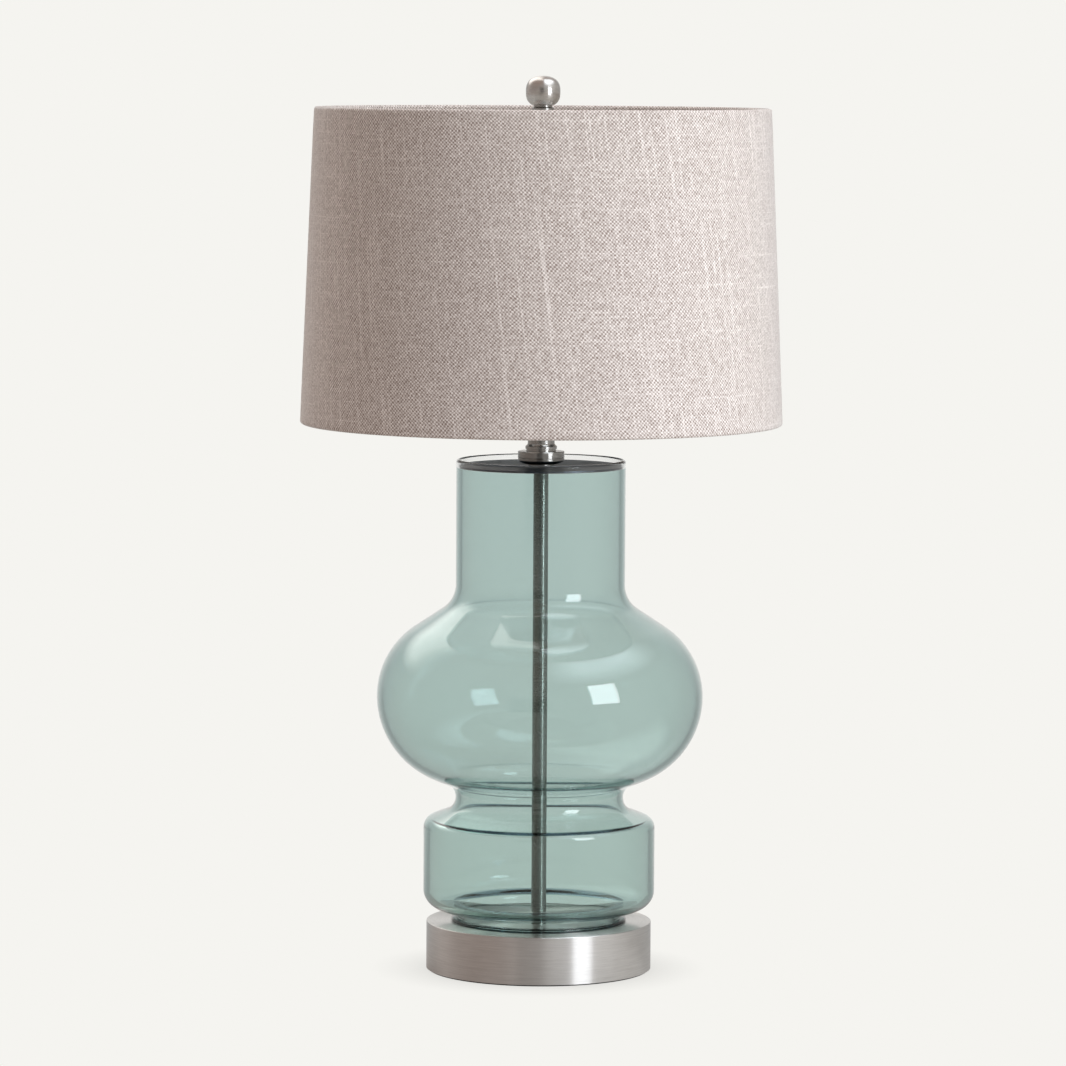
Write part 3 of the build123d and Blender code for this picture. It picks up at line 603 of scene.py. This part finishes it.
def make_glass():
    """The vessel as one closed skin: its outside has a coloured coat, and its inside is clear."""
    low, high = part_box("glass_body")
    reach = high.x / MM
    foot = low.z / MM
    lip = high.z / MM
    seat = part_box("neck_plate")[0].z / MM - GASKET
    inner_neck = NECK_RADIUS - GLASS_WALL
    inner_foot = FOOT_RADIUS - GLASS_WALL
    rebate = NECK_RADIUS - LIP_WALL
    rim = joined(
        [(rebate, seat), (rebate, lip)],
        arc((NECK_RADIUS - LIP_ROUND, lip - LIP_ROUND), LIP_ROUND, 90, -90),
        [(NECK_RADIUS, seat)],
    )
    outer = joined(
        rim,
        *glass_surface(0.0, reach),
        [(FOOT_RADIUS, FLANGE_TOP + 0.3)],
        arc((FLANGE_RADIUS - FLANGE_ROUND, FLANGE_TOP - FLANGE_ROUND), FLANGE_ROUND, 90, -90),
        [(FLANGE_RADIUS, foot), (inner_foot, foot)],
    )
    inner = joined(
        [(inner_neck, seat)], *glass_surface(GLASS_WALL, reach), [(inner_foot, foot + 2.0)]
    )
    inner.reverse()
    outline = outer + inner
    bare = len(rim) - 1  # the ground rim has no coat
    coated, clear = 0, 1
    slots = [clear] * bare + [coated] * (len(outer) - bare) + [clear] * len(inner)
    outline.reverse()
    slots = slots[-2::-1] + slots[-1:]
    piece = lathe("glass_vessel", outline, columns=320, slots=slots, sharp=40.0)
    stands_for(piece, "lamp", "teal_glass", "glass_body", materials=[coated_glass, clear_glass])


# ---------------------------------------------------------------- shade cloth
CLOTH = 0.8
HEM_DEPTH = 12.0
WIRE_RADIUS = 1.6
HEM_INSET = 2.3  # from the cloth's outer face to the middle of the turned-in hem
SEAM_HALF_WIDTH = 0.030  # in radians, to each side of the back
SEAM_STEP = 0.7
SEAM_EDGE = 0.006  # in radians, over which the lap rises
SEAM_AT = pi / 2
HEM_REST = 7.0  # how far the hem's free edge reaches back towards its wire
HEM_CLEARANCE = 0.1  # the cloth stands this far off the plain hem's box


def make_cloth():
    """One cloth skin: turned in over both wires, with a lapped seam at the back."""
    low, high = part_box("shade_bottom_hem")
    bottom = low.z / MM
    bottom_radius = (high.x - low.x) / 2 / MM + HEM_CLEARANCE
    low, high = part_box("shade_top_hem")
    top = high.z / MM
    top_radius = (high.x - low.x) / 2 / MM + HEM_CLEARANCE
    roll = WIRE_RADIUS + CLOTH

    def face(height):
        return bottom_radius + (height - bottom) / (top - bottom) * (top_radius - bottom_radius)

    low_wire = (bottom_radius - roll - HEM_CLEARANCE, bottom + roll)
    high_wire = (top_radius - roll - HEM_CLEARANCE, top - roll)
    low_hem = low_wire[1] + HEM_DEPTH + roll
    high_hem = high_wire[1] - HEM_DEPTH - roll

    def skin(offset):
        """The cloth's path, moved to its outer side by an offset."""
        around = WIRE_RADIUS + CLOTH / 2 + offset
        return joined(
            [(face(low_hem) - HEM_INSET - offset, low_hem)],
            [(face(low_hem - HEM_REST) - HEM_INSET - offset, low_hem - HEM_REST)],
            arc(low_wire, around, 170, 180),
            [(face(height) - CLOTH / 2 + offset, height) for height in (low_hem, high_hem)],
            arc(high_wire, around, 10, 180),
            [(face(high_hem + HEM_REST) - HEM_INSET - offset, high_hem + HEM_REST)],
            [(face(high_hem) - HEM_INSET - offset, high_hem)],
            longest=3.0,
        )

    outline = skin(CLOTH / 2)[::-1] + skin(-CLOTH / 2)
    outline.reverse()

    def seam(angle, radius, height):
        """The lap's upper layer stands one cloth proud of the face, on the outside only."""
        from_seam = abs(angle - SEAM_AT)
        outside = radius > face(height) - CLOTH * 0.6
        inside_hems = roll < height - bottom and roll < top - height
        if not (outside and inside_hems):
            return 0.0
        edge = (SEAM_HALF_WIDTH - from_seam) / SEAM_EDGE
        return SEAM_STEP * min(1.0, max(0.0, edge))

    columns = 720
    piece = lathe("shade_linen", outline, columns=columns, ripple=seam, sharp=60.0)
    mesh = piece.data
    weave = mesh.uv_layers.new(name="weave")
    along = [0.0]
    for here, there in zip(outline, outline[1:] + outline[:1]):
        along.append(along[-1] + hypot(there[0] - here[0], there[1] - here[1]) * MM)
    around = 2 * pi * (bottom_radius + top_radius) / 2 * MM
    spots = []
    for column in range(columns):
        for step in range(len(outline)):
            left = around * column / columns
            right = around * (column + 1) / columns
            below, above = along[step], along[step + 1]
            spots += [left, below, right, below, right, above, left, above]
    weave.data.foreach_set("uv", spots)
    stands_for(piece, "shade", "linen_cloth", "shade_cloth", "shade_top_hem", "shade_bottom_hem")


# ---------------------------------------------------------------- small turned pieces
CAP_PITCH = 3.629
CAP_THREAD_DEPTH = 0.75
STUD_RADIUS = 3.175
STUD_PITCH = 0.940741
STUD_THREAD_DEPTH = 0.38
KEY_FLUTES = 18
FLUTE_DEPTH = 0.55


def thread_ripple(depth, pitch, low, high):
    """A rounded screw thread cut into a surface, fading out at both ends."""
    def ripple(angle, radius, height):
        if not low <= height <= high:
            return 0.0
        fade = min(1.0, (height - low) / pitch, (high - height) / pitch)
        wave = 0.5 - 0.5 * cos(2 * pi * (height / pitch - angle / (2 * pi)))
        return -depth * fade * wave
    return ripple


def make_bulb_base():
    """The bulb's screw cap with its rolled Edison thread."""
    low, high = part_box("bulb_base")
    radius, bottom, top = high.x / MM, low.z / MM, high.z / MM
    outline = joined(
        [(radius - 2.2, bottom), (radius - 2.2, top), (radius - 0.3, top), (radius, top - 0.5)],
        [(radius, bottom + 1.4), (radius - 1.6, bottom)],
        longest=0.35,
    )
    outline.reverse()
    ripple = thread_ripple(CAP_THREAD_DEPTH, CAP_PITCH, bottom + 1.6, top - 4.0)

    def outside_only(angle, from_axis, height):
        return ripple(angle, from_axis, height) if from_axis > radius - 0.2 else 0.0

    piece = lathe("bulb_screw_cap", outline, columns=96, ripple=outside_only, sharp=45.0)
    stands_for(piece, "bulb", "bulb_metal", "bulb_base")


def make_harp_stud():
    """The swivel stud: a seat flange on a quarter inch thread."""
    low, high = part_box("harp_stud")
    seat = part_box("spider_hub")[0].z / MM - 0.1
    reach, bottom, top = high.x / MM, low.z / MM, high.z / MM
    thread = STUD_RADIUS
    outline = joined(
        [(0.01, top), (0.01, bottom), (thread, bottom), (thread, seat - 1.4)],
        [(reach - 0.4, seat - 1.4), (reach, seat - 1.0), (reach, seat - 0.3)],
        [(reach - 0.3, seat), (thread, seat)],
        [(thread, top - 0.5), (thread - 0.5, top)],
        longest=0.16,
    )
    ripple = thread_ripple(STUD_THREAD_DEPTH, STUD_PITCH, seat + 0.2, top - 0.4)

    def outside_only(angle, from_axis, height):
        on_thread = thread - 0.1 < from_axis < thread + 0.1
        return ripple(angle, from_axis, height) if on_thread else 0.0

    piece = lathe("harp_swivel_stud", outline, columns=64, ripple=outside_only, sharp=45.0)
    stands_for(piece, "harp_swivel", "brass_metal", "harp_stud")


def make_switch_knob():
    """The switch's key: a fluted barrel, turned to point forward."""
    low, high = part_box("switch_knob")
    radius = (high.x - low.x) / 2 / MM
    front, back = -low.y / MM, -high.y / MM
    axis = (low + high) / 2
    bore = 2.5
    outline = joined(
        [(bore, back), (radius - 0.8, back), (radius, back + 0.8), (radius, front - 1.4)],
        arc((radius - 1.4, front - 1.4), 1.4, 0, 90),
        [(1.2, front), (0.6, front - 0.5), (0.01, front - 0.5)],
        [(0.01, back + 6.0), (bore, back + 6.0)],
        longest=0.5,
    )

    def flutes(angle, from_axis, along):
        if from_axis < radius - 0.2 or not back + 1.0 < along < front - 1.2:
            return 0.0
        return -FLUTE_DEPTH * (0.5 - 0.5 * cos(KEY_FLUTES * angle)) ** 2

    piece = lathe("switch_key", outline, columns=216, ripple=flutes, sharp=40.0)
    placing = Matrix.Translation((axis.x, 0, axis.z)) @ Matrix.Rotation(pi / 2, 4, "X")
    piece.data.transform(placing)
    stands_for(piece, "switch", "phenolic", "switch_knob")


make_glass()
make_cloth()
make_bulb_base()
make_harp_stud()
make_switch_knob()

# ---------------------------------------------------------------- stage and light
FLOOR_RADIUS = 9.0
SOFTBOX_AZIMUTH = 46.0  # to the right of the camera
SOFTBOX_ELEVATION = 12.5
SOFTBOX_DISTANCE = 1.5
SOFTBOX_SIZE = (0.53, 0.64)
SOFTBOX_POWER = 8.4
SOFTBOX_COLOUR = (0.95, 1.0, 1.06)
# The floor's contact shadow is painted, by occlusion dimming its glow.
PAINTED_SHADOW_REACH = 0.05  # how far the contact shadow spreads
LEFT_ROOM = (0.39, 0.335, 0.305)
RIGHT_ROOM = (0.56, 0.545, 0.525)
CEILING = (0.41, 0.315, 0.275)
HIGH_RIGHT = (3.0, 3.22, 3.42)
HIGH_LEFT = (2.3, 2.2, 2.1)
FRONT = (0.04, 0.038, 0.038)
# Walls and screens, each over the ones before: azimuth of the middle, half width where it is
# full and where it ends, all in degrees, and colour.
WALLS = (
    (62, 12, 34, (0.74, 0.725, 0.70)),
    (-125, 15, 45, (0.52, 0.47, 0.44)),
    (180, 40, 60, (0.50, 0.50, 0.49)),
    (180, 12, 36, (0.95, 0.94, 0.915)),
)


def seen_directly(graph):
    """1 for a ray that left the camera and met at most clear glass, and 0 for the rest."""
    path = graph.add("ShaderNodeLightPath").outputs
    bounces = graph.math("ADD", path["Glossy Depth"], path["Diffuse Depth"])
    straight = graph.math("MAXIMUM", path["Is Camera Ray"], path["Is Transmission Ray"])
    return graph.math("MULTIPLY", graph.math("LESS_THAN", bounces, 0.5), straight)


def room_light(graph, x, y, elevation):
    """What a reflection sees of the room, in a direction from the lamp.

    x and y give the direction, or the place on the floor, which has no elevation. The backdrop is
    bright, the room in front is darker and warm, and a white wall is on the right.
    """
    azimuth = graph.math("ARCTAN2", x, graph.math("MULTIPLY", y, -1.0))

    def lobe(centre, inner, outer):
        """1 near an azimuth to the right of the camera, in degrees, falling to 0 further off."""
        turn = graph.math("SUBTRACT", azimuth, radians(centre))
        off = graph.math("ABSOLUTE", graph.math("WRAP", turn, pi, -pi))
        return graph.span(off, radians(outer), radians(inner))

    room = graph.mix(lobe(80, 70, 120), LEFT_ROOM, RIGHT_ROOM)
    for middle, inner, outer, colour in WALLS:
        room = graph.mix(lobe(middle, inner, outer), room, colour)
    if elevation is None:  # on the floor: dark only far in front
        square = graph.math("MULTIPLY_ADD", x, x, graph.math("MULTIPLY", y, y))
        low = graph.span(graph.math("SQRT", square), 3.6, 4.6)
    else:
        low = graph.span(elevation, 0.34, 0.22)
        room = graph.mix(graph.span(elevation, 0.45, 0.75), room, CEILING)
        on_right = graph.math("MULTIPLY", lobe(72, 30, 70), graph.span(elevation, 0.55, 0.78))
        room = graph.mix(on_right, room, HIGH_RIGHT)
        on_left = graph.math("MULTIPLY", lobe(-146, 16, 40), graph.span(elevation, 0.30, 0.45))
        room = graph.mix(on_left, room, HIGH_LEFT)
    return graph.mix(graph.math("MULTIPLY", lobe(-8, 10, 18), low), room, FRONT)


def make_world():
    """The studio round the lamp: a plain backdrop to the camera, the room's light to the rest."""
    world = bpy.data.worlds.new("studio")
    scene.world = world
    world.use_nodes = True
    graph = Graph(world.node_tree)
    direction = graph.add("ShaderNodeTexCoord").outputs["Generated"]
    room = room_light(graph, *separate(graph, direction))
    colour = graph.mix(seen_directly(graph), room, BACKDROP)
    background = world.node_tree.nodes["Background"]
    graph.tree.links.new(colour, background.inputs[0])


def make_floor():
    """A plain pale floor that glows, with the lamp's contact shadow painted on it by occlusion. It
    is clear from underneath.
    """
    mesh = bpy.data.meshes.new("floor")
    corners = 96
    angles = [2 * pi * index / corners for index in range(corners)]
    rim = [(FLOOR_RADIUS * cos(angle), FLOOR_RADIUS * sin(angle), 0.0) for angle in angles]
    mesh.from_pydata(rim, [], [tuple(range(corners))])
    floor = bpy.data.objects.new("floor", mesh)
    scene.collection.objects.link(floor)
    material = bpy.data.materials.new("floor")
    material.use_nodes = True
    graph = Graph(material.node_tree)
    material.node_tree.nodes.remove(material.node_tree.nodes["Principled BSDF"])
    x, y, _ = separate(graph, object_spot(graph))
    colour = graph.mix(seen_directly(graph), room_light(graph, x, y, None), BACKDROP)
    # Painted contact shadow: the floor's glow is dimmed where occlusion finds the lamp close by.
    occlusion = graph.add("ShaderNodeAmbientOcclusion", {"Distance": PAINTED_SHADOW_REACH}, samples=8)
    contact = occlusion.outputs["AO"]
    shade = graph.span(contact, 0.4, 1.0, 0.80, 1.0)
    pale = graph.add("ShaderNodeEmission", {"Color": colour, "Strength": shade})
    clear = graph.add("ShaderNodeBsdfTransparent")
    under = graph.add("ShaderNodeNewGeometry").outputs["Backfacing"]
    both = graph.add("ShaderNodeMixShader", {0: under, 1: pale.outputs[0], 2: clear.outputs[0]})
    output = material.node_tree.nodes["Material Output"]
    graph.tree.links.new(both.outputs[0], output.inputs["Surface"])
    mesh.materials.append(material)


def make_softbox():
    """The one strong light: a tall softbox to the right of the camera."""
    data = bpy.data.lights.new("softbox", "AREA")
    data.shape = "RECTANGLE"
    data.size, data.size_y = SOFTBOX_SIZE
    data.energy = SOFTBOX_POWER
    data.color = SOFTBOX_COLOUR
    light = bpy.data.objects.new("softbox", data)
    scene.collection.objects.link(light)
    low, high = cad_box
    centre = Vector((0, 0, (low.z + high.z) / 2))
    azimuth, elevation = radians(SOFTBOX_AZIMUTH), radians(SOFTBOX_ELEVATION)
    towards = Vector(
        (sin(azimuth) * cos(elevation), -cos(azimuth) * cos(elevation), sin(elevation))
    )
    light.location = centre + SOFTBOX_DISTANCE * towards
    light.rotation_euler = towards.to_track_quat("Z", "Y").to_euler()
    light.visible_camera = False


make_world()
make_floor()
make_softbox()
